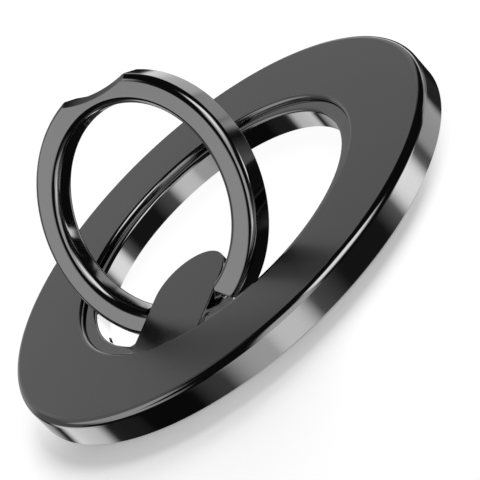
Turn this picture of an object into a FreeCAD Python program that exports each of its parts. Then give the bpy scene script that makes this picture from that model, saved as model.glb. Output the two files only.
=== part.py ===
import FreeCAD, Part
import math
import os

# Phone ring holder. A round metal cover with magnets under it clings to the back
# of a phone. An inner ring turns in the cover and carries a round-nosed lug, and a
# C-shaped finger ring folds on a pin through that lug.
# Millimetres. Origin at the centre of the back face, +Z away from the phone.
# The hinge lies on the -Y side and its pin runs along X.

# Cover
plate_radius = 28.0
cover_thickness = 0.9
skirt_thickness = 1.0
skirt_lift = 0.1
rim_rounding = 0.84
opening_rounding = 0.45
guide_wall_thickness = 1.4
rebate_depth = 0.58

# Magnets and what lies behind them
magnet_count = 18
magnet_width = 4.73
magnet_thickness = 1.25
magnet_gap = 0.3
magnet_side_gap = 0.35
magnet_back_gap = 0.05
yoke_thickness = 0.45
yoke_side_gap = 0.2
back_plate_thickness = 0.35
pad_thickness = 0.4
pad_margin = 0.15
seat_gap = 0.02

# Turning ring, the washer above its flange and the ring below it
ledge_width = 1.42
turning_foot = 0.2
ledge_drop = 0.6
ledge_chamfer = 0.3
turning_play = 0.08
flange_reach = 1.67
flange_play = 0.2
running_gap = 0.05
slide_thickness = 0.55
slide_margin = 0.2
retaining_thickness = 0.4
underside_gap = 0.3

# Lug
lug_width = 9.66
lug_nose_beyond_pin = 6.55
lug_drop = 0.34
lug_foot = 0.3
lug_root_rounding = 1.0
lug_edge_chamfer = 0.12

# Hinge
pin_inset = 3.08
pin_radius = 0.6
pin_hold = 2.27
pin_end_gap = 0.1
pin_play = 0.03
sleeve_wall = 0.2
sleeve_slot = 0.5
sleeve_inset = 0.15

# Finger ring
finger_gap = 2.65
finger_band = 2.83
finger_thickness = 3.0
finger_drop = 0.1
finger_rounding = 0.75
finger_back_chamfer = 0.2
finger_side_gap = 0.1
finger_opening = 58.8
end_slant_start = 0.37
end_slant_angle = 37.0
end_floor_gap = 0.1
notch_radius = 18.0
notch_depth = 1.28
notch_chamfer = 0.4
notch_back_chamfer = 0.2

# Heights, from the phone up
chamber_floor = pad_thickness + back_plate_thickness
cover_underside = chamber_floor + magnet_back_gap + magnet_thickness + yoke_thickness
plate_height = cover_underside + cover_thickness
ledge_height = plate_height - ledge_drop
lug_top = plate_height - lug_drop
finger_top = plate_height - finger_drop
finger_bottom = finger_top - finger_thickness
pin_height = (finger_top + finger_bottom) / 2
rebate_top = chamber_floor + retaining_thickness
flange_top = cover_underside - slide_thickness - running_gap
flange_bottom = rebate_top + running_gap

# Radii, from the rim in
channel_outer_radius = plate_radius - skirt_thickness
channel_inner_radius = channel_outer_radius - magnet_width - 2 * magnet_side_gap
guide_radius = channel_inner_radius - guide_wall_thickness
rebate_radius = guide_radius + rebate_depth
flange_radius = guide_radius - flange_play
turning_radius = flange_radius - flange_reach
opening_radius = turning_radius + turning_play
back_bore_radius = turning_radius + underside_gap
turning_bore_radius = turning_radius - ledge_width
finger_radius = turning_bore_radius - finger_gap
finger_bore_radius = finger_radius - finger_band
pin_reach = finger_radius - pin_inset

# Lug and pin
lug_half_width = lug_width / 2
lug_nose_reach = pin_reach - lug_nose_beyond_pin
nose_centre_y = -(lug_nose_reach + lug_half_width)
pin_half_length = lug_half_width + finger_side_gap + pin_hold
sleeve_bore_radius = pin_radius + pin_play
sleeve_radius = sleeve_bore_radius + sleeve_wall

# How far the cutting tools stand out of what they cut
spare = 1.0

origin = FreeCAD.Vector(0, 0, 0)
along_x = FreeCAD.Vector(1, 0, 0)
along_z = FreeCAD.Vector(0, 0, 1)
pin_centre = FreeCAD.Vector(0, -pin_reach, pin_height)


def sharp(radius, height):
    """A plain corner of a section in the XZ plane."""
    return FreeCAD.Vector(radius, 0, height), 0.0, False


def chamfered(radius, height, leg):
    """A corner of a section with a chamfer of that leg."""
    return FreeCAD.Vector(radius, 0, height), leg, False


def rounded(radius, height, rounding):
    """A corner of a section with a rounding of that radius."""
    return FreeCAD.Vector(radius, 0, height), rounding, True


def section_face(corners):
    """A face in the XZ plane from right-angled corners taken in order."""
    edges = []
    ends = []
    for index, (here, trim, is_round) in enumerate(corners):
        to_last = (corners[index - 1][0] - here).normalize()
        to_next = (corners[(index + 1) % len(corners)][0] - here).normalize()
        start = here + to_last * trim
        end = here + to_next * trim
        if ends:
            edges.append(Part.makeLine(ends[-1], start))
        ends += [start, end]
        if is_round:
            inward = (to_last + to_next).normalize()
            arc = Part.Arc(start, here + inward * trim * (math.sqrt(2) - 1), end)
            halfway = (arc.FirstParameter + arc.LastParameter) / 2
            # Two halves, because a whole quarter turn meshes into twice the facets.
            edges.append(arc.toShape(arc.FirstParameter, halfway))
            edges.append(arc.toShape(halfway, arc.LastParameter))
        elif trim > 0:
            edges.append(Part.makeLine(start, end))
    edges.append(Part.makeLine(ends[-1], ends[0]))
    return Part.Face(Part.Wire(edges))


def turned(face, centre=origin, angle=360.0):
    """A face in the XZ plane turned about a vertical axis through a point."""
    solid = face.revolve(centre, along_z, angle)
    if solid.Volume < 0:
        solid.reverse()
    return solid


def flat_ring(inner_radius, outer_radius, bottom, top):
    """A plain ring of rectangular section."""
    return turned(section_face([
        sharp(inner_radius, bottom),
        sharp(outer_radius, bottom),
        sharp(outer_radius, top),
        sharp(inner_radius, top),
    ]))


def rod_along_x(radius, half_length):
    """A rod on the hinge axis, centred on the lug."""
    start = pin_centre - along_x * half_length
    return Part.makeCylinder(radius, 2 * half_length, start, along_x)


def base_shell():
    """The cover with its skirt, the guide wall for the turning ring and the magnet channel."""
    return turned(section_face([
        sharp(plate_radius, skirt_lift),
        rounded(plate_radius, plate_height, rim_rounding),
        rounded(opening_radius, plate_height, opening_rounding),
        sharp(opening_radius, cover_underside),
        sharp(guide_radius, cover_underside),
        sharp(guide_radius, rebate_top),
        sharp(rebate_radius, rebate_top),
        sharp(rebate_radius, chamber_floor),
        sharp(channel_inner_radius, chamber_floor),
        sharp(channel_inner_radius, cover_underside),
        sharp(channel_outer_radius, cover_underside),
        sharp(channel_outer_radius, skirt_lift),
    ]))


def steel_yoke():
    """The steel ring between the magnets and the cover."""
    inner_radius = channel_inner_radius + yoke_side_gap
    outer_radius = channel_outer_radius - yoke_side_gap
    return flat_ring(inner_radius, outer_radius, cover_underside - yoke_thickness, cover_underside)


def magnet(index):
    """One arc magnet of the ring, with half a gap at each of its ends."""
    inner_radius = channel_inner_radius + magnet_side_gap
    outer_radius = inner_radius + magnet_width
    top = cover_underside - yoke_thickness
    bottom = top - magnet_thickness
    pitch = 360.0 / magnet_count
    gap_angle = math.degrees(magnet_gap / inner_radius)
    face = section_face([
        sharp(inner_radius, bottom),
        sharp(outer_radius, bottom),
        sharp(outer_radius, top),
        sharp(inner_radius, top),
    ])
    face.rotate(origin, along_z, index * pitch + gap_angle / 2)
    return turned(face, origin, pitch - gap_angle)


def back_plate():
    """The thin ring that closes the cover from behind."""
    outer_radius = channel_outer_radius - seat_gap
    return flat_ring(back_bore_radius, outer_radius, pad_thickness, chamber_floor)


def back_pad():
    """The soft ring that rests on the phone and stands a little out of the skirt."""
    inner_radius = back_bore_radius + pad_margin
    outer_radius = channel_outer_radius - pad_margin
    return flat_ring(inner_radius, outer_radius, 0, pad_thickness)


def slide_ring():
    """The plastic washer between the cover and the turning ring's flange."""
    inner_radius = turning_radius + slide_margin
    outer_radius = guide_radius - seat_gap
    return flat_ring(inner_radius, outer_radius, cover_underside - slide_thickness, cover_underside)


def retaining_ring():
    """The steel ring in the cover's rebate that keeps the turning ring in."""
    inner_radius = back_bore_radius + slide_margin
    return flat_ring(inner_radius, rebate_radius - seat_gap, chamber_floor, rebate_top)


def lug_block(bottom, top):
    """The lug's outline raised between two heights, its root ending at the ring's outside."""
    left_nose = FreeCAD.Vector(-lug_half_width, nose_centre_y, bottom)
    nose = FreeCAD.Vector(0, -lug_nose_reach, bottom)
    right_nose = FreeCAD.Vector(lug_half_width, nose_centre_y, bottom)
    right_root = FreeCAD.Vector(lug_half_width, -opening_radius - spare, bottom)
    left_root = FreeCAD.Vector(-lug_half_width, -opening_radius - spare, bottom)
    outline = Part.Wire([
        Part.Arc(left_nose, nose, right_nose).toShape(),
        Part.makeLine(right_nose, right_root),
        Part.makeLine(right_root, left_root),
        Part.makeLine(left_root, left_nose),
    ])
    block = Part.Face(outline).extrude(FreeCAD.Vector(0, 0, top - bottom))
    return block.common(Part.makeCylinder(turning_radius, plate_height))


def lies_at_height(edge, height):
    """Whether an edge lies level at a height."""
    box = edge.BoundBox
    return abs(box.ZMin - height) < 1e-4 and abs(box.ZMax - height) < 1e-4


def farthest_from_axis(edge):
    """The largest distance of an edge's ends and middle from the Z axis."""
    first = edge.FirstParameter
    last = edge.LastParameter
    points = [edge.valueAt(value) for value in (first, (first + last) / 2, last)]
    return max(math.hypot(point.x, point.y) for point in points)


def is_root_corner(edge):
    """Whether an edge is an upright corner where the lug meets the ring's bore."""
    box = edge.BoundBox
    upright = box.XLength < 1e-4 and box.YLength < 1e-4 and box.ZLength > 1e-3
    return upright and abs(abs(box.XMin) - lug_half_width) < 1e-3


def turning_ring():
    """The inner ring with its flange, its ledge and the hinge lug, cast in one."""
    ring = turned(section_face([
        sharp(turning_bore_radius, turning_foot),
        sharp(turning_radius, turning_foot),
        sharp(turning_radius, flange_bottom),
        sharp(flange_radius, flange_bottom),
        sharp(flange_radius, flange_top),
        sharp(turning_radius, flange_top),
        sharp(turning_radius, ledge_height),
        sharp(turning_bore_radius, ledge_height),
    ]))
    body = ring.fuse(lug_block(lug_foot, ledge_height)).removeSplitter()
    body = body.makeFillet(lug_root_rounding, [edge for edge in body.Edges if is_root_corner(edge)])
    ledge_edges = [
        edge for edge in body.Edges
        if lies_at_height(edge, ledge_height)
        and farthest_from_axis(edge) < turning_bore_radius + 1e-3
    ]
    body = body.makeChamfer(ledge_chamfer, ledge_edges)
    lug = lug_block(lug_foot, lug_top)
    top_edges = [
        edge for edge in lug.Edges
        if lies_at_height(edge, lug_top)
        and abs(edge.CenterOfMass.y) < turning_bore_radius
    ]
    lug = lug.makeChamfer(lug_edge_chamfer, top_edges)
    body = body.fuse(lug).removeSplitter()
    return body.cut(rod_along_x(sleeve_radius, lug_half_width + spare)).Solids[0]


def friction_sleeve():
    """The slotted spring sleeve pressed into the lug, round the pin."""
    half_length = lug_half_width - sleeve_inset
    sleeve = rod_along_x(sleeve_radius, half_length)
    sleeve = sleeve.cut(rod_along_x(sleeve_bore_radius, half_length + spare))
    slot_corner = pin_centre + FreeCAD.Vector(-half_length - spare, 0, -sleeve_slot / 2)
    slot = Part.makeBox(2 * (half_length + spare), sleeve_radius + spare, sleeve_slot, slot_corner)
    return sleeve.cut(slot).Solids[0]


def notch_cutter():
    """The tool for the lift notch, flared at both faces so that it leaves them chamfered."""
    centre = FreeCAD.Vector(0, notch_radius + finger_radius - notch_depth, 0)
    low_end = finger_bottom - spare
    high_end = finger_top + spare
    corners = [
        (0, low_end),
        (notch_radius + notch_back_chamfer, low_end),
        (notch_radius + notch_back_chamfer, finger_bottom),
        (notch_radius, finger_bottom + notch_back_chamfer),
        (notch_radius, finger_top - notch_chamfer),
        (notch_radius + notch_chamfer, finger_top),
        (notch_radius + notch_chamfer, high_end),
        (0, high_end),
    ]
    points = [FreeCAD.Vector(radius, centre.y, height) for radius, height in corners]
    return turned(Part.Face(Part.makePolygon(points + points[:1])), centre)


def lug_gap_cutter():
    """The tool for the gap in the finger ring, straight beside the lug and then slanting out."""
    near_x = lug_half_width + finger_side_gap
    slant_y = -pin_reach + end_slant_start
    far_y = -finger_radius - spare
    far_x = near_x + (slant_y - far_y) / math.tan(math.radians(end_slant_angle))
    corners = [
        (near_x, 0),
        (near_x, slant_y),
        (far_x, far_y),
        (-far_x, far_y),
        (-near_x, slant_y),
        (-near_x, 0),
    ]
    points = [FreeCAD.Vector(x, y, finger_bottom - spare) for x, y in corners]
    outline = Part.makePolygon(points + points[:1])
    return Part.Face(outline).extrude(along_z * (finger_thickness + 2 * spare))


def end_back_cutter():
    """The tool that turns the back of the finger ring's ends about the pin, clear of the phone."""
    half_length = finger_radius + spare
    bottom = finger_bottom - spare
    corner = FreeCAD.Vector(-half_length, -pin_reach - half_length, bottom)
    block = Part.makeBox(2 * half_length, half_length, pin_height - bottom, corner)
    return block.cut(rod_along_x(pin_height - end_floor_gap, half_length + spare))


def opened(shape):
    """Swings a piece from folded flat to the rest position."""
    shape.rotate(pin_centre, along_x, finger_opening)
    return shape


def finger_ring():
    """The C-shaped finger ring, made folded flat round the plate's centre and then opened."""
    ring = turned(section_face([
        chamfered(finger_bore_radius, finger_bottom, finger_back_chamfer),
        chamfered(finger_radius, finger_bottom, finger_back_chamfer),
        rounded(finger_radius, finger_top, finger_rounding),
        rounded(finger_bore_radius, finger_top, finger_rounding),
    ]))
    ring = ring.cut(lug_gap_cutter())
    ring = ring.cut(end_back_cutter())
    ring = ring.cut(rod_along_x(pin_radius, pin_half_length + pin_end_gap))
    ring = ring.cut(notch_cutter())
    return opened(ring.Solids[0])


def hinge_pin():
    """The steel pin, held in the finger ring's two ends and turning in the sleeve."""
    return opened(rod_along_x(pin_radius, pin_half_length))


parts = {
    "base_shell": base_shell(),
    "steel_yoke": steel_yoke(),
    "back_plate": back_plate(),
    "back_pad": back_pad(),
    "slide_ring": slide_ring(),
    "retaining_ring": retaining_ring(),
    "turning_ring": turning_ring(),
    "friction_sleeve": friction_sleeve(),
    "finger_ring": finger_ring(),
    "hinge_pin": hinge_pin(),
}
for index in range(magnet_count):
    parts["magnet_%02d" % (index + 1)] = magnet(index)

os.makedirs("parts", exist_ok=True)
for name, shape in parts.items():
    shape.exportStep("parts/%s.step" % name)
    print(name, shape.ShapeType, len(shape.Solids), "solid", round(shape.Volume, 2), "mm3", shape.isValid())
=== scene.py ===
import math

import bmesh
import bpy
from mathutils import Matrix, Vector


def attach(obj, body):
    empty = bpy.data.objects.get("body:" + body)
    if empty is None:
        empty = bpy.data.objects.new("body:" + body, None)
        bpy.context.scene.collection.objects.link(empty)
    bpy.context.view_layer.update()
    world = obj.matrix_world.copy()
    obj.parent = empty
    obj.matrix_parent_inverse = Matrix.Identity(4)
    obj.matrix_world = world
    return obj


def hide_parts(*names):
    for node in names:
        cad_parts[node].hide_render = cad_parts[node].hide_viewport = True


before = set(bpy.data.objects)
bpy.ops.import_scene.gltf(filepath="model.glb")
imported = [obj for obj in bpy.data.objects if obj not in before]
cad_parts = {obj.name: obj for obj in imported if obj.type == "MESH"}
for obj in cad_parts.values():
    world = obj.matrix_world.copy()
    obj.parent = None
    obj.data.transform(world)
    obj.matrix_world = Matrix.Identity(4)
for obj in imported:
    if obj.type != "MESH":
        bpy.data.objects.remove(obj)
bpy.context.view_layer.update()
mm = 0.001

# Shared by the cover, the rings and the hinge, in millimetres and degrees
pinCentre = (-11.15, 1.8)       # y and height of the hinge pin
pinRadius = 0.6
sleeveRadius = 0.83
openAngle = 58.8                # of the finger ring, from flat
fullTurn = 2 * math.pi
ringSteps = 256                 # facets round a full ring
spare = 1.0                     # how far a cutting tool reaches past the piece
nearly = 1e-4                   # places closer than this count as one
weldWithin = 1e-5               # neighbours in an outline closer than this are welded


# Camera: the photograph's view, rolled so that the plate leans up to the right
cameraView = {
    "aim": (0.74, 0.43, -0.41),     # mm
    "distance": 270.04,             # mm
    "azimuth": 42.545,
    "elevation": 24.322,
    "roll": -43.289,
    "lens": 187.99,
}


def makeCamera(view):
    azimuth = math.radians(view["azimuth"])
    elevation = math.radians(view["elevation"])
    back = Vector((
        math.sin(azimuth) * math.cos(elevation),
        -math.cos(azimuth) * math.cos(elevation),
        math.sin(elevation),
    ))
    data = bpy.data.cameras.new("photoCamera")
    data.lens = view["lens"]
    data.sensor_width = 36
    data.clip_start = 0.01
    data.clip_end = 20
    camera = bpy.data.objects.new("photoCamera", data)
    bpy.context.scene.collection.objects.link(camera)
    camera.rotation_mode = "QUATERNION"
    level = (-back).to_track_quat("-Z", "Y")
    roll = Matrix.Rotation(math.radians(view["roll"]), 3, "Z").to_quaternion()
    camera.rotation_quaternion = level @ roll
    camera.location = (Vector(view["aim"]) + back * view["distance"]) * mm
    bpy.context.scene.camera = camera


# Short helpers for the material nodes
def newMaterial(name):
    material = bpy.data.materials.new(name)
    material.use_nodes = True
    tree = material.node_tree
    return material, tree, tree.nodes["Principled BSDF"]


def addNode(tree, kind, settings=None, inputs=None):
    node = tree.nodes.new(kind)
    for key, value in (settings or {}).items():
        setattr(node, key, value)
    for key, value in (inputs or {}).items():
        if isinstance(value, bpy.types.NodeSocket):
            tree.links.new(value, node.inputs[key])
        else:
            node.inputs[key].default_value = value
    return node


def noiseAt(tree, scale, detail=3.0, squeeze=(1, 1, 1)):
    place = addNode(tree, "ShaderNodeTexCoord")
    mapping = addNode(tree, "ShaderNodeMapping", inputs={
        "Vector": place.outputs["Object"], "Scale": squeeze})
    noise = addNode(tree, "ShaderNodeTexNoise", inputs={
        "Vector": mapping.outputs["Vector"], "Scale": scale, "Detail": detail, "Roughness": 0.6})
    return noise.outputs["Fac"]


def ranged(tree, value, low, high, fromLow=0.3, fromHigh=0.7):
    return addNode(tree, "ShaderNodeMapRange", inputs={
        "Value": value, "From Min": fromLow, "From Max": fromHigh, "To Min": low, "To Max": high,
    }).outputs["Result"]


def tinted(tree, value, dark, light):
    mix = addNode(tree, "ShaderNodeMix", {"data_type": "RGBA"}, {
        0: value, 6: (*dark, 1), 7: (*light, 1)})
    return mix.outputs[2]


def surface(name, look):
    # A slow change of shade, and a fine grain in roughness and bump
    material, tree, shader = newMaterial(name)
    shader.inputs["Metallic"].default_value = look["metallic"]
    cloud = noiseAt(tree, look["cloudScale"])
    tree.links.new(tinted(tree, cloud, look["dark"], look["light"]), shader.inputs["Base Color"])
    grain = noiseAt(tree, look["grainScale"], 4.0, look["grainSqueeze"])
    low, high = look["roughness"]
    tree.links.new(ranged(tree, grain, low, high), shader.inputs["Roughness"])
    bump = addNode(tree, "ShaderNodeBump", inputs={
        "Strength": look["grainStrength"], "Distance": look["grainDepth"] * mm, "Height": grain})
    tree.links.new(bump.outputs["Normal"], shader.inputs["Normal"])
    return material


satinLook = {
    "metallic": 1.0,
    "dark": (0.24, 0.24, 0.243),
    "light": (0.256, 0.256, 0.258),
    "cloudScale": 90,
    "grainScale": 5200,
    "grainSqueeze": (1, 1, 1),
    "roughness": (0.28, 0.34),
    "grainStrength": 0.25,
    "grainDepth": 0.004,
}
polishLook = {
    "metallic": 1.0,
    "dark": (0.215, 0.215, 0.218),
    "light": (0.225, 0.225, 0.227),
    "cloudScale": 60,
    "grainScale": 900,
    "grainSqueeze": (1, 1, 1),
    "roughness": (0.07, 0.10),
    "grainStrength": 0.02,
    "grainDepth": 0.004,
}
lugLook = dict(
    satinLook,
    dark=(0.182, 0.182, 0.184),
    light=(0.194, 0.194, 0.196),
    roughness=(0.17, 0.22),
)
steelLook = {
    "metallic": 1.0,
    "dark": (0.5, 0.5, 0.49),
    "light": (0.6, 0.59, 0.58),
    "cloudScale": 160,
    "grainScale": 1400,
    "grainSqueeze": (1, 1, 4),
    "roughness": (0.26, 0.4),
    "grainStrength": 0.15,
    "grainDepth": 0.005,
}
magnetLook = {
    "metallic": 1.0,
    "dark": (0.55, 0.54, 0.52),
    "light": (0.66, 0.65, 0.62),
    "cloudScale": 220,
    "grainScale": 2600,
    "grainSqueeze": (1, 1, 1),
    "roughness": (0.2, 0.34),
    "grainStrength": 0.2,
    "grainDepth": 0.006,
}
washerLook = {
    "metallic": 0.0,
    "dark": (0.72, 0.72, 0.68),
    "light": (0.82, 0.82, 0.79),
    "cloudScale": 140,
    "grainScale": 2200,
    "grainSqueeze": (1, 1, 1),
    "roughness": (0.34, 0.46),
    "grainStrength": 0.2,
    "grainDepth": 0.006,
}
sheetLook = {
    "metallic": 0.0,
    "dark": (0.022, 0.022, 0.023),
    "light": (0.036, 0.036, 0.037),
    "cloudScale": 120,
    "grainScale": 3200,
    "grainSqueeze": (1, 1, 1),
    "roughness": (0.5, 0.64),
    "grainStrength": 0.4,
    "grainDepth": 0.01,
}
padLook = {
    "metallic": 0.0,
    "dark": (0.012, 0.012, 0.013),
    "light": (0.028, 0.028, 0.029),
    "cloudScale": 500,
    "grainScale": 1700,
    "grainSqueeze": (1, 1, 1),
    "roughness": (0.74, 0.92),
    "grainStrength": 0.6,
    "grainDepth": 0.02,
}
satin = surface("satinBlackNickel", satinLook)
lugSatin = surface("fineSatinBlackNickel", lugLook)
polish = surface("polishedBlackNickel", polishLook)
steel = surface("plainSteel", steelLook)
magnetPlate = surface("magnetNickel", magnetLook)
washerPlastic = surface("washerPlastic", washerLook)
blackSheet = surface("blackSheet", sheetLook)
softPad = surface("softPad", padLook)
print("materials made")


# Short helpers for the meshes, in millimetres until a piece is made
def sectionRing(corners, centre=(0, 0), segments=8):
    # Corners are (radius, height, rounding)
    bm = bmesh.new()
    verts = [bm.verts.new((corner[0], 0, corner[1])) for corner in corners]
    for index, vert in enumerate(verts):
        bm.edges.new((vert, verts[(index + 1) % len(verts)]))
    for rounding in sorted({corner[2] for corner in corners if corner[2] > 0}):
        chosen = [verts[index] for index, corner in enumerate(corners) if corner[2] == rounding]
        bmesh.ops.bevel(bm, geom=chosen, offset=rounding, offset_type="OFFSET", segments=segments,
                        profile=0.5, affect="VERTICES", material=-1)
    bmesh.ops.spin(bm, geom=bm.verts[:] + bm.edges[:], cent=(0, 0, 0), axis=(0, 0, 1),
                   angle=fullTurn, steps=ringSteps, use_merge=True)
    bmesh.ops.translate(bm, verts=bm.verts, vec=(centre[0], centre[1], 0))
    bmesh.ops.remove_doubles(bm, verts=bm.verts, dist=weldWithin)
    bmesh.ops.recalc_face_normals(bm, faces=bm.faces)
    return bm


def rodAlongX(radius, halfLength, centre, steps=64):
    bm = bmesh.new()
    bmesh.ops.create_circle(bm, cap_ends=True, segments=steps, radius=radius)
    bmesh.ops.rotate(bm, verts=bm.verts, cent=(0, 0, 0), matrix=Matrix.Rotation(math.pi / 2, 3, "Y"))
    bmesh.ops.translate(bm, verts=bm.verts, vec=(-halfLength, centre[0], centre[1]))
    grown = bmesh.ops.extrude_face_region(bm, geom=bm.faces[:])
    moved = [item for item in grown["geom"] if isinstance(item, bmesh.types.BMVert)]
    bmesh.ops.translate(bm, verts=moved, vec=(2 * halfLength, 0, 0))
    bmesh.ops.recalc_face_normals(bm, faces=bm.faces)
    return bm


def lineTo(bm, vert, x, y):
    ahead = bm.verts.new((x, y, vert.co.z))
    bm.edges.new((vert, ahead))
    return ahead


def arcTo(bm, vert, centre, degrees, steps):
    swept = bmesh.ops.spin(bm, geom=[vert], cent=(centre[0], centre[1], vert.co.z), axis=(0, 0, 1),
                           angle=math.radians(degrees), steps=steps)
    return [item for item in swept["geom_last"] if isinstance(item, bmesh.types.BMVert)][0]


def raised(bm, height):
    # Fills the outline and raises it; gives back the raised vertices
    bmesh.ops.remove_doubles(bm, verts=bm.verts, dist=weldWithin)
    face = bmesh.ops.contextual_create(bm, geom=bm.edges[:])["faces"]
    grown = bmesh.ops.extrude_face_region(bm, geom=face)
    moved = [item for item in grown["geom"] if isinstance(item, bmesh.types.BMVert)]
    bmesh.ops.translate(bm, verts=moved, vec=(0, 0, height))
    bmesh.ops.recalc_face_normals(bm, faces=bm.faces)
    return moved


def asObject(bm, name):
    mesh = bpy.data.meshes.new(name)
    bm.to_mesh(mesh)
    bm.free()
    piece = bpy.data.objects.new(name, mesh)
    bpy.context.scene.collection.objects.link(piece)
    return piece


def combined(bm, tool, operation):
    # Joins or cuts two meshes exactly, through a modifier on a passing object
    body = asObject(bm, "body")
    cutter = asObject(tool, "tool")
    modifier = body.modifiers.new("combine", "BOOLEAN")
    modifier.operation = operation
    modifier.solver = "EXACT"
    modifier.object = cutter
    result = bmesh.new()
    result.from_object(body, bpy.context.evaluated_depsgraph_get())
    for item in (body, cutter):
        mesh = item.data
        bpy.data.objects.remove(item)
        bpy.data.meshes.remove(mesh)
    bmesh.ops.remove_doubles(result, verts=result.verts, dist=nearly)
    return result


def finished(bm, name, materials, sharpAngle=32):
    # To metres, smooth shaded apart from its sharp edges, with flat faces left flat
    bmesh.ops.transform(bm, matrix=Matrix.Scale(mm, 4), verts=bm.verts)
    bmesh.ops.dissolve_degenerate(bm, dist=1e-8, edges=bm.edges)
    bm.normal_update()
    for edge in bm.edges:
        if edge.calc_face_angle(0) > math.radians(sharpAngle):
            edge.smooth = False
    piece = asObject(bm, name)
    mesh = piece.data
    for material in materials:
        mesh.materials.append(material)
    for polygon in mesh.polygons:
        polygon.use_smooth = True
    even = piece.modifiers.new("evenNormals", "WEIGHTED_NORMAL")
    even.keep_sharp = True
    even.weight = 100
    return piece


def facesAt(bm, height):
    # The level faces at a height
    return [face for face in bm.faces
            if abs(face.calc_center_median().z - height) < 1e-3 and abs(face.normal.z) > 0.999]


# The cover plate, in millimetres as all the pieces are
cover = {
    "radius": 28.0,
    "height": 3.4,
    "openingRadius": 18.38,
    "rimRounding": 0.84,
    "openingRounding": 0.45,
    "underside": 2.5,
    "guideRadius": 20.17,
    "rebateRadius": 20.75,
    "rebateTop": 1.15,
    "floor": 0.75,
    "channelInner": 21.57,
    "channelOuter": 27.0,
    "skirtLift": 0.1,
}


def makeCover(size):
    bm = sectionRing([
        (size["radius"], size["skirtLift"], 0),
        (size["radius"], size["height"], size["rimRounding"]),
        (size["openingRadius"], size["height"], size["openingRounding"]),
        (size["openingRadius"], size["underside"], 0),
        (size["guideRadius"], size["underside"], 0),
        (size["guideRadius"], size["rebateTop"], 0),
        (size["rebateRadius"], size["rebateTop"], 0),
        (size["rebateRadius"], size["floor"], 0),
        (size["channelInner"], size["floor"], 0),
        (size["channelInner"], size["underside"], 0),
        (size["channelOuter"], size["underside"], 0),
        (size["channelOuter"], size["skirtLift"], 0),
    ])
    for face in facesAt(bm, size["height"]):
        face.material_index = 1
    piece = finished(bm, "coverPlate", [polish, satin])
    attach(piece, "base")
    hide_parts("base_shell")
    print("cover plate made")


# The turning ring with the hinge lug cast on it
turning = {
    "bore": 16.88,
    "outside": 18.3,
    "flange": 19.97,
    "flangeBottom": 1.2,
    "flangeTop": 1.9,
    "foot": 0.2,
    "ledge": 2.8,
    "ledgeRounding": 0.36,
    "roundingSteps": 6,
    "rootRounding": 1.0,
    "boreSteps": 232,
    "rootSteps": 12,
    "lugHalfWidth": 4.83,
    "noseCentre": -9.43,
    "noseSteps": 64,
    "lugRootSteps": 24,
    "lugFoot": 0.3,
    "lugTop": 3.06,
    "lugEdge": 0.12,
    "lugInset": 0.005,              # keeps the lug's root inside the ring's wall
}


def boreOutline(bm, size, outset, height):
    # The bore's outline with the two roundings at the lug's root, moved out by the outset
    before = set(bm.edges)
    rootX = size["lugHalfWidth"] + size["rootRounding"]
    rootY = -math.sqrt((size["bore"] - size["rootRounding"]) ** 2 - rootX ** 2)
    rootAngle = math.degrees(math.atan2(-rootY, rootX))
    start = bm.verts.new((size["lugHalfWidth"] - outset, rootY, height))
    tangent = arcTo(bm, start, (rootX, rootY), 180 - rootAngle, size["rootSteps"])
    farTangent = arcTo(bm, tangent, (0, 0), 180 + 2 * rootAngle, size["boreSteps"])
    end = arcTo(bm, farTangent, (-rootX, rootY), 180 - rootAngle, size["rootSteps"])
    bm.edges.new((end, start))
    return [edge for edge in bm.edges if edge not in before]


def ringBody(size):
    bm = bmesh.new()
    loops = [boreOutline(bm, size, 0, size["foot"])]
    for step in range(size["roundingSteps"] + 1):
        angle = math.pi / 2 * step / size["roundingSteps"]
        outset = size["ledgeRounding"] * (1 - math.cos(angle))
        height = size["ledge"] - size["ledgeRounding"] * (1 - math.sin(angle))
        loops.append(boreOutline(bm, size, outset, height))
    for lower, upper in zip(loops, loops[1:]):
        bmesh.ops.bridge_loops(bm, edges=lower + upper)
    profile = [
        (size["outside"], size["foot"]),
        (size["outside"], size["flangeBottom"]),
        (size["flange"], size["flangeBottom"]),
        (size["flange"], size["flangeTop"]),
        (size["outside"], size["flangeTop"]),
        (size["outside"], size["ledge"]),
    ]
    verts = [bm.verts.new((radius, 0, height)) for radius, height in profile]
    chain = [bm.edges.new(pair) for pair in zip(verts, verts[1:])]
    bmesh.ops.spin(bm, geom=verts + chain, cent=(0, 0, 0), axis=(0, 0, 1), angle=fullTurn,
                   steps=ringSteps, use_merge=True)
    for height in (size["foot"], size["ledge"]):
        rim = [edge for edge in bm.edges
               if edge.is_boundary and all(abs(vert.co.z - height) < nearly for vert in edge.verts)]
        bmesh.ops.triangle_fill(bm, edges=rim, use_beauty=True)
    bmesh.ops.recalc_face_normals(bm, faces=bm.faces)
    return bm


def lugBody(size):
    bm = bmesh.new()
    half = size["lugHalfWidth"]
    outside = size["outside"] - size["lugInset"]
    rootY = -math.sqrt(outside ** 2 - half ** 2)
    start = bm.verts.new((half, size["noseCentre"], size["lugFoot"]))
    left = arcTo(bm, start, (0, size["noseCentre"]), 180, size["noseSteps"])
    root = lineTo(bm, left, -half, rootY)
    end = arcTo(bm, root, (0, 0), 2 * math.degrees(math.asin(half / outside)), size["lugRootSteps"])
    bm.edges.new((end, start))
    raised(bm, size["lugTop"] - size["lugFoot"])
    top = [edge for edge in bm.edges
           if all(abs(vert.co.z - size["lugTop"]) < nearly for vert in edge.verts)
           and not all(vert.co.y < rootY + nearly for vert in edge.verts)]
    bmesh.ops.bevel(bm, geom=top, offset=size["lugEdge"], offset_type="OFFSET", segments=4,
                    profile=0.5, affect="EDGES", material=-1, clamp_overlap=True)
    return bm


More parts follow.
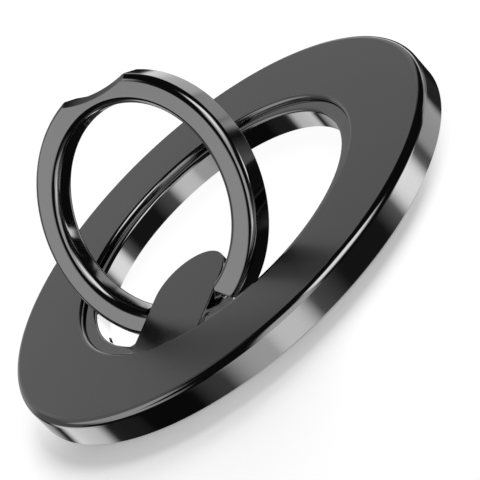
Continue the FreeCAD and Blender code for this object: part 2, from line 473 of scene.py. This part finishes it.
def makeTurningRing(size):
    bm = combined(ringBody(size), lugBody(size), "UNION")
    bm = combined(bm, rodAlongX(sleeveRadius, size["lugHalfWidth"] + spare, pinCentre), "DIFFERENCE")
    for face in facesAt(bm, size["lugTop"]):
        face.material_index = 1
    piece = finished(bm, "turningRing", [polish, lugSatin])
    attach(piece, "rotor")
    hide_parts("turning_ring")
    print("turning ring made")


# The finger loop, made flat and turned open about the pin
fingerLoop = {
    "radius": 14.23,
    "bore": 11.1,
    "bottom": 0.3,
    "top": 3.3,
    "outerRounding": 0.75,
    "innerRounding": 0.9,
    "innerBackRounding": 0.8,
    "backRounding": 0.2,
    "gap": 4.93,                    # to each side
    "slantStart": 0.37,
    "slantAngle": 37.0,
    "pinHole": 7.3,                 # to each side too
    "endRounding": 1.7,
    "endSteps": 128,
    "notchRadius": 18.0,
    "notchWidth": 5.0,              # of the tool that cuts it
    "notchDepth": 1.28,
    "notchFront": 0.55,
    "notchBack": 0.2,
    "segments": 12,
}


def gapTool(size):
    # Opens the loop round the lug, with slanted ends
    bm = bmesh.new()
    gap = size["gap"]
    slantY = pinCentre[0] + size["slantStart"]
    farY = -size["radius"] - spare
    farX = gap + (slantY - farY) / math.tan(math.radians(size["slantAngle"]))
    start = bm.verts.new((gap, 0, size["bottom"] - spare))
    vert = start
    for x, y in ((gap, slantY), (farX, farY), (-farX, farY), (-gap, slantY), (-gap, 0)):
        vert = lineTo(bm, vert, x, y)
    bm.edges.new((vert, start))
    raised(bm, size["top"] - size["bottom"] + 2 * spare)
    return bm


def endTool(size):
    # Everything behind and below the pin, apart from the rounding turned about it
    bm = bmesh.new()
    pinY, pinZ = pinCentre
    depth = pinZ - size["bottom"] + spare
    bmesh.ops.create_cube(bm, size=1)
    bmesh.ops.scale(bm, verts=bm.verts, vec=(2 * (size["radius"] + spare), size["radius"], depth))
    bmesh.ops.translate(bm, verts=bm.verts, vec=(0, pinY - size["radius"] / 2, pinZ - depth / 2))
    rounding = rodAlongX(size["endRounding"], size["radius"] + 2 * spare, pinCentre, size["endSteps"])
    return combined(bm, rounding, "DIFFERENCE")


def notchTool(size):
    low = size["bottom"]
    high = size["top"]
    radius = size["notchRadius"]
    back = size["notchBack"]
    front = size["notchFront"]
    centreY = radius + size["radius"] - size["notchDepth"]
    return sectionRing([
        (radius - size["notchWidth"], low - spare, 0),
        (radius + back, low - spare, 0),
        (radius + back, low, 0),
        (radius, low + back, 0),
        (radius, high - front, 0),
        (radius + front, high, 0),
        (radius + front, high + spare, 0),
        (radius - size["notchWidth"], high + spare, 0),
    ], (0, centreY))


def makeFingerLoop(size):
    bm = sectionRing([
        (size["bore"], size["bottom"], size["innerBackRounding"]),
        (size["radius"], size["bottom"], size["backRounding"]),
        (size["radius"], size["top"], size["outerRounding"]),
        (size["bore"], size["top"], size["innerRounding"]),
    ], segments=size["segments"])
    pinHole = rodAlongX(pinRadius, size["pinHole"], pinCentre)
    for tool in (gapTool(size), endTool(size), pinHole, notchTool(size)):
        bm = combined(bm, tool, "DIFFERENCE")
    # The flat face keeps its own shading up to its edges
    front = set(facesAt(bm, size["top"]))
    for face in front:
        for edge in face.edges:
            edge.smooth = front.issuperset(edge.link_faces)
    turn = Matrix.Rotation(math.radians(openAngle), 3, "X")
    bmesh.ops.rotate(bm, verts=bm.verts, cent=(0, *pinCentre), matrix=turn)
    piece = finished(bm, "fingerLoop", [polish])
    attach(piece, "finger")
    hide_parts("finger_ring")
    print("finger loop made")


# The flat rings under the cover
pad = {"inner": 18.75, "outer": 26.85, "bottom": 0, "top": 0.4, "rounding": 0.1}
backSheet = {"inner": 18.6, "outer": 26.98, "bottom": 0.4, "top": 0.75, "rounding": 0.04}
washer = {"inner": 18.5, "outer": 20.15, "bottom": 1.95, "top": 2.5, "rounding": 0.06}
keeper = {"inner": 18.8, "outer": 20.73, "bottom": 0.75, "top": 1.15, "rounding": 0.05}
yoke = {"inner": 21.77, "outer": 26.8, "bottom": 2.05, "top": 2.5, "rounding": 0.05}


def makeFlatRing(name, node, ring, material):
    piece = finished(sectionRing([
        (ring["inner"], ring["bottom"], ring["rounding"]),
        (ring["outer"], ring["bottom"], ring["rounding"]),
        (ring["outer"], ring["top"], ring["rounding"]),
        (ring["inner"], ring["top"], ring["rounding"]),
    ], segments=3), name, [material])
    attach(piece, "base")
    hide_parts(node)


# Arc magnets side by side under the yoke
magnetRow = {
    "count": 18,
    "inner": 21.92,
    "outer": 26.65,
    "bottom": 0.8,
    "top": 2.05,
    "gap": 0.3,
    "edge": 0.12,
    "arcSteps": 16,
    "sharpAngle": 60,               # degrees; the edges over it are rounded
}


def makeMagnets(size):
    pitch = 360 / size["count"]
    gap = math.degrees(size["gap"] / size["inner"])
    for index in range(size["count"]):
        bm = bmesh.new()
        start = bm.verts.new((size["inner"], 0, size["bottom"]))
        outer = lineTo(bm, start, size["outer"], 0)
        turned = arcTo(bm, outer, (0, 0), pitch - gap, size["arcSteps"])
        away = turned.co.xy.normalized() * size["inner"]
        inner = lineTo(bm, turned, away.x, away.y)
        arcTo(bm, inner, (0, 0), gap - pitch, size["arcSteps"])
        raised(bm, size["top"] - size["bottom"])
        sharpEdges = [edge for edge in bm.edges
                      if edge.calc_face_angle(0) > math.radians(size["sharpAngle"])]
        bmesh.ops.bevel(bm, geom=sharpEdges, offset=size["edge"], offset_type="OFFSET", segments=3,
                        profile=0.5, affect="EDGES", material=-1, clamp_overlap=True)
        turn = Matrix.Rotation(math.radians(index * pitch + gap / 2), 3, "Z")
        bmesh.ops.rotate(bm, verts=bm.verts, cent=(0, 0, 0), matrix=turn)
        piece = finished(bm, "arcMagnet%02d" % (index + 1), [magnetPlate])
        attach(piece, "base")
        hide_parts("magnet_%02d" % (index + 1))


# The hinge's pin, which turns with the finger loop
hingePin = {"halfLength": 7.2, "edge": 0.12}


def makeHingePin(size):
    bm = rodAlongX(pinRadius, size["halfLength"], pinCentre)
    rims = [edge for edge in bm.edges if abs(edge.verts[0].co.x - edge.verts[1].co.x) < nearly]
    bmesh.ops.bevel(bm, geom=rims, offset=size["edge"], offset_type="OFFSET", segments=3,
                    profile=0.5, affect="EDGES", material=-1)
    turn = Matrix.Rotation(math.radians(openAngle), 3, "X")
    bmesh.ops.rotate(bm, verts=bm.verts, cent=(0, *pinCentre), matrix=turn)
    pin = finished(bm, "hingePin", [steel])
    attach(pin, "finger")
    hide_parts("hinge_pin")


# The sleeve that grips the pin, slotted along its inner side
gripSleeve = {"bore": 0.63, "halfLength": 4.68, "slot": 0.5}


def makeGripSleeve(size):
    half = size["halfLength"]
    bm = combined(rodAlongX(sleeveRadius, half, pinCentre),
                  rodAlongX(size["bore"], half + spare, pinCentre), "DIFFERENCE")
    cut = bmesh.new()
    bmesh.ops.create_cube(cut, size=1)
    bmesh.ops.scale(cut, verts=cut.verts, vec=(2 * (half + spare), 2 * spare, size["slot"]))
    bmesh.ops.translate(cut, verts=cut.verts, vec=(0, pinCentre[0] + spare, pinCentre[1]))
    sleeve = finished(combined(bm, cut, "DIFFERENCE"), "gripSleeve", [steel])
    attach(sleeve, "rotor")
    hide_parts("friction_sleeve")


makeCamera(cameraView)
makeCover(cover)
makeTurningRing(turning)
makeFingerLoop(fingerLoop)
makeFlatRing("softPad", "back_pad", pad, softPad)
makeFlatRing("backSheet", "back_plate", backSheet, blackSheet)
makeFlatRing("slideWasher", "slide_ring", washer, washerPlastic)
makeFlatRing("keeperRing", "retaining_ring", keeper, steel)
makeFlatRing("steelYoke", "steel_yoke", yoke, steel)
makeMagnets(magnetRow)
makeHingePin(hingePin)
makeGripSleeve(gripSleeve)
print("hidden pieces made")


# Studio: a pale floor, one large soft lamp and soft strips that the metal mirrors
floorLook = {
    "size": 3,                      # metres, to each side
    "drop": 0.02,                   # mm, so that the pad's face and the floor aren't one
    "colour": (0.95, 0.95, 0.95),
    "roughness": 0.9,
    "holeRadius": 17.2,             # mm, under the rings, where the change of lift is hidden
    "holeLift": 0.95,               # share of white laid over the shadow
    "shadowToward": (0.42, -0.91, 0),
    "near": 4,                      # mm
    "far": 22,                      # mm
    "lift": (0.9, 0.2),             # the same share, near and far
}
lampLook = {
    "direction": (-0.26, 0.966),
    "tilt": 58,                     # degrees from overhead
    "distance": 0.6,                # metres
    "size": 0.3,                    # metres
    "watts": 5.2,
}
studioLook = {
    "diffuseLevel": 0.5,
    "dim": 0.012,                   # between the strips
    "strips": [
        # azimuth, half width and soft side, then the heights where the strip starts, is full,
        # begins to fade and ends, all in degrees, and its level
        # Low boxes, for the side walls
        (-174, 8, 11, -60, -50, -21, -16, 1.75),
        (-169, 8, 11, -23, -18, -12, -4, 1.75),
        (-148, 6, 12, -60, -50, -12, -4, 0.045),
        (148, 3, 16, -45, -35, -18, -12, 0.55),
        (-86, 6, 16, -60, -50, -12, -4, 0.15),
        (-65, 3, 25, -60, -50, -6, 2, 1.35),
        (-54, 2, 15, -60, -50, -4, 4, 2.15),
        (-50, 2, 30, -60, -50, -6, 2, 0.25),
        (-8, 20, 16, -60, -50, -12, -4, 0.03),
        # High boxes, for the near lip and the open loop's side
        (-51, 7, 15, -4, 2, 54, 64, 1.35),
        (-14, 15, 12, 19, 48, 65, 76, 3.1),
        (2, 12, 9, 27, 50, 65, 76, 3.1),
        # Low boxes on the camera's right
        (31, 2, 14, -30, -26, -17, -6, 3.1),
        (31, 4, 24, -31, -27, -16, -6, 0.4),
        (67, 10, 9, -60, -50, -22, -19, 1.0),
        (68, 6, 4, -22, -19, -6, 2, 1.0),
        (80, 5, 12, -22, -19, -6, 2, 0.42),
        (90, 8, 12, -60, -50, -4, 2, 0.04),
        # Boxes about level, for the loop's outside
        (76, 10, 5, -8, -1, 5, 10, 0.85),
        (95, 9, 9, -1, 3, 7, 11, 1.25),
        (107, 4, 8, -2, 1, 4, 8, 1.6),
        (116, 4, 8, 0, 2, 6, 10, 1.3),
        # Boxes behind the plate, for the level faces and the edges round them
        (116, 8, 8, 4, 9, 20, 30, 0.5),
        (134, 22, 10, 2, 10, 26, 38, 0.4),
        (150, 10, 10, -14, -8, 10, 22, 0.5),
        (168, 20, 12, 14, 30, 46, 60, 0.34),
        (168, 26, 10, -14, -6, 30, 45, 0.22),
        (-158, 18, 8, 14, 26, 54, 63, 1.03),
        # The box that the loop's face mirrors
        (-134, 2, 32, 8, 15, 26, 36, 1.03),
    ],
}


def stepped(tree, value, low, high):
    # 0 below low, 1 above high, smooth between
    return addNode(tree, "ShaderNodeMapRange", {"interpolation_type": "SMOOTHSTEP"}, {
        "Value": value, "From Min": low, "From Max": high}).outputs["Result"]


def calculated(tree, operation, first, second):
    return addNode(tree, "ShaderNodeMath", {"operation": operation}, {0: first, 1: second}).outputs["Value"]


def makeFloor(look):
    bm = bmesh.new()
    bmesh.ops.create_grid(bm, x_segments=1, y_segments=1, size=look["size"])
    bmesh.ops.translate(bm, verts=bm.verts, vec=(0, 0, -look["drop"] * mm))
    floor = asObject(bm, "floor")
    floor.visible_glossy = False
    material, tree, shader = newMaterial("floorWhite")
    shader.inputs["Base Color"].default_value = (*look["colour"], 1)
    shader.inputs["Roughness"].default_value = look["roughness"]
    # For the camera, white is painted over the floor's shadow: almost fully in the hole, and beside the
    # plate less and less toward the side that the shadow falls on
    place = addNode(tree, "ShaderNodeTexCoord").outputs["Object"]
    fromAxis = addNode(tree, "ShaderNodeVectorMath", {"operation": "LENGTH"}, {0: place})
    inHole = calculated(tree, "LESS_THAN", fromAxis.outputs["Value"], look["holeRadius"] * mm)
    along = addNode(tree, "ShaderNodeVectorMath", {"operation": "DOT_PRODUCT"}, {
        0: place, 1: look["shadowToward"]})
    slope = addNode(tree, "ShaderNodeMapRange", {"interpolation_type": "SMOOTHSTEP"}, {
        "Value": along.outputs["Value"], "From Min": look["near"] * mm, "From Max": look["far"] * mm,
        "To Min": look["lift"][0], "To Max": look["lift"][1]})
    lift = addNode(tree, "ShaderNodeMix", {"data_type": "FLOAT"}, {
        0: inHole, 2: slope.outputs["Result"], 3: look["holeLift"]})
    path = addNode(tree, "ShaderNodeLightPath")
    paintedWhiteShare = calculated(tree, "MULTIPLY", path.outputs["Is Camera Ray"], lift.outputs[0])
    # The white glow painted over the floor's shade, for the camera only
    paintedGlow = addNode(tree, "ShaderNodeEmission", inputs={"Color": (1, 1, 1, 1), "Strength": 1.0})
    both = addNode(tree, "ShaderNodeMixShader", inputs={
        0: paintedWhiteShare, 1: shader.outputs["BSDF"], 2: paintedGlow.outputs["Emission"]})
    tree.links.new(both.outputs["Shader"], tree.nodes["Material Output"].inputs["Surface"])
    floor.data.materials.append(material)


# A small glowing white patch on the floor by the inner ring's bore, which only reflections show: a painted
# reflection on the bore's wall
reflectionGlowLook = {
    "corners": [
        (-14.6, -7.8),
        (-12.0, -11.8),
        (-12.8, -13.4),
        (-18.8, -6.8),
        (-17.4, -1.5),
        (-15.4, -1.5),
        (-15.1, -5.0),
    ],
    "drop": 0.01,                   # mm, over the floor and under the plate
    "level": 2.6,
}


def makeReflectionGlow(look):
    bm = bmesh.new()
    verts = [bm.verts.new((x * mm, y * mm, -look["drop"] * mm)) for x, y in look["corners"]]
    bmesh.ops.contextual_create(bm, geom=verts)
    reflectionGlow = asObject(bm, "reflectionGlow")
    # Seen only in reflections, where it paints a bright reflection on the bore's wall
    reflectionGlow.visible_camera = False
    reflectionGlow.visible_diffuse = False
    reflectionGlow.visible_transmission = False
    reflectionGlow.visible_shadow = False
    material, tree, _ = newMaterial("paintedReflectionWhite")
    paintedGlow = addNode(tree, "ShaderNodeEmission", inputs={"Color": (1, 1, 1, 1), "Strength": look["level"]})
    tree.links.new(paintedGlow.outputs["Emission"], tree.nodes["Material Output"].inputs["Surface"])
    reflectionGlow.data.materials.append(material)


def makeLamp(look):
    tilt = math.radians(look["tilt"])
    x, y = look["direction"]
    away = Vector((x * math.sin(tilt), y * math.sin(tilt), math.cos(tilt)))
    data = bpy.data.lights.new("softLamp", "AREA")
    data.shape = "DISK"
    data.size = look["size"]
    data.energy = look["watts"]
    lamp = bpy.data.objects.new("softLamp", data)
    lamp.location = away * look["distance"]
    lamp.rotation_euler = away.to_track_quat("Z", "Y").to_euler()
    lamp.visible_glossy = False
    lamp.visible_camera = False
    bpy.context.scene.collection.objects.link(lamp)


def softStrip(tree, flat, height, strip):
    # The light of one strip in the direction that a ray looks
    azimuth, halfWidth, softSide, start, full, ebb, end, level = strip
    toward = (math.cos(math.radians(azimuth)), math.sin(math.radians(azimuth)), 0)
    facing = addNode(tree, "ShaderNodeVectorMath", {"operation": "DOT_PRODUCT"}, {0: flat, 1: toward})
    side = stepped(tree, facing.outputs["Value"], math.cos(math.radians(halfWidth + softSide)),
                   math.cos(math.radians(halfWidth)))
    below = stepped(tree, height, math.sin(math.radians(start)), math.sin(math.radians(full)))
    above = stepped(tree, height, math.sin(math.radians(end)), math.sin(math.radians(ebb)))
    lit = calculated(tree, "MULTIPLY", side, calculated(tree, "MULTIPLY", below, above))
    return calculated(tree, "MULTIPLY", lit, level)


def makeStudio(look):
    # White for the camera, a plain level for soft light, and the studio's soft boxes for reflections
    world = bpy.data.worlds.new("studio")
    bpy.context.scene.world = world
    world.use_nodes = True
    tree = world.node_tree
    ray = addNode(tree, "ShaderNodeTexCoord").outputs["Generated"]
    parts = addNode(tree, "ShaderNodeSeparateXYZ", inputs={"Vector": ray})
    level = addNode(tree, "ShaderNodeVectorMath", {"operation": "MULTIPLY"}, {0: ray, 1: (1, 1, 0)})
    flat = addNode(tree, "ShaderNodeVectorMath", {"operation": "NORMALIZE"}, {0: level.outputs["Vector"]})
    boxes = look["dim"]
    for strip in look["strips"]:
        lit = softStrip(tree, flat.outputs["Vector"], parts.outputs["Z"], strip)
        boxes = calculated(tree, "MAXIMUM", lit, boxes)
    path = addNode(tree, "ShaderNodeLightPath")
    plain = addNode(tree, "ShaderNodeMix", {"data_type": "FLOAT"}, {
        0: calculated(tree, "MAXIMUM", path.outputs["Is Camera Ray"], path.outputs["Is Transmission Ray"]),
        2: look["diffuseLevel"], 3: 1.0})
    strength = addNode(tree, "ShaderNodeMix", {"data_type": "FLOAT"}, {
        0: path.outputs["Is Glossy Ray"], 2: plain.outputs[0], 3: boxes})
    background = tree.nodes["Background"]
    tree.links.new(strength.outputs[0], background.inputs["Strength"])
    background.inputs["Color"].default_value = (1, 1, 1, 1)


makeFloor(floorLook)
makeReflectionGlow(reflectionGlowLook)
makeLamp(lampLook)
makeStudio(studioLook)
bpy.context.scene.view_settings.view_transform = "Standard"
print("studio set")
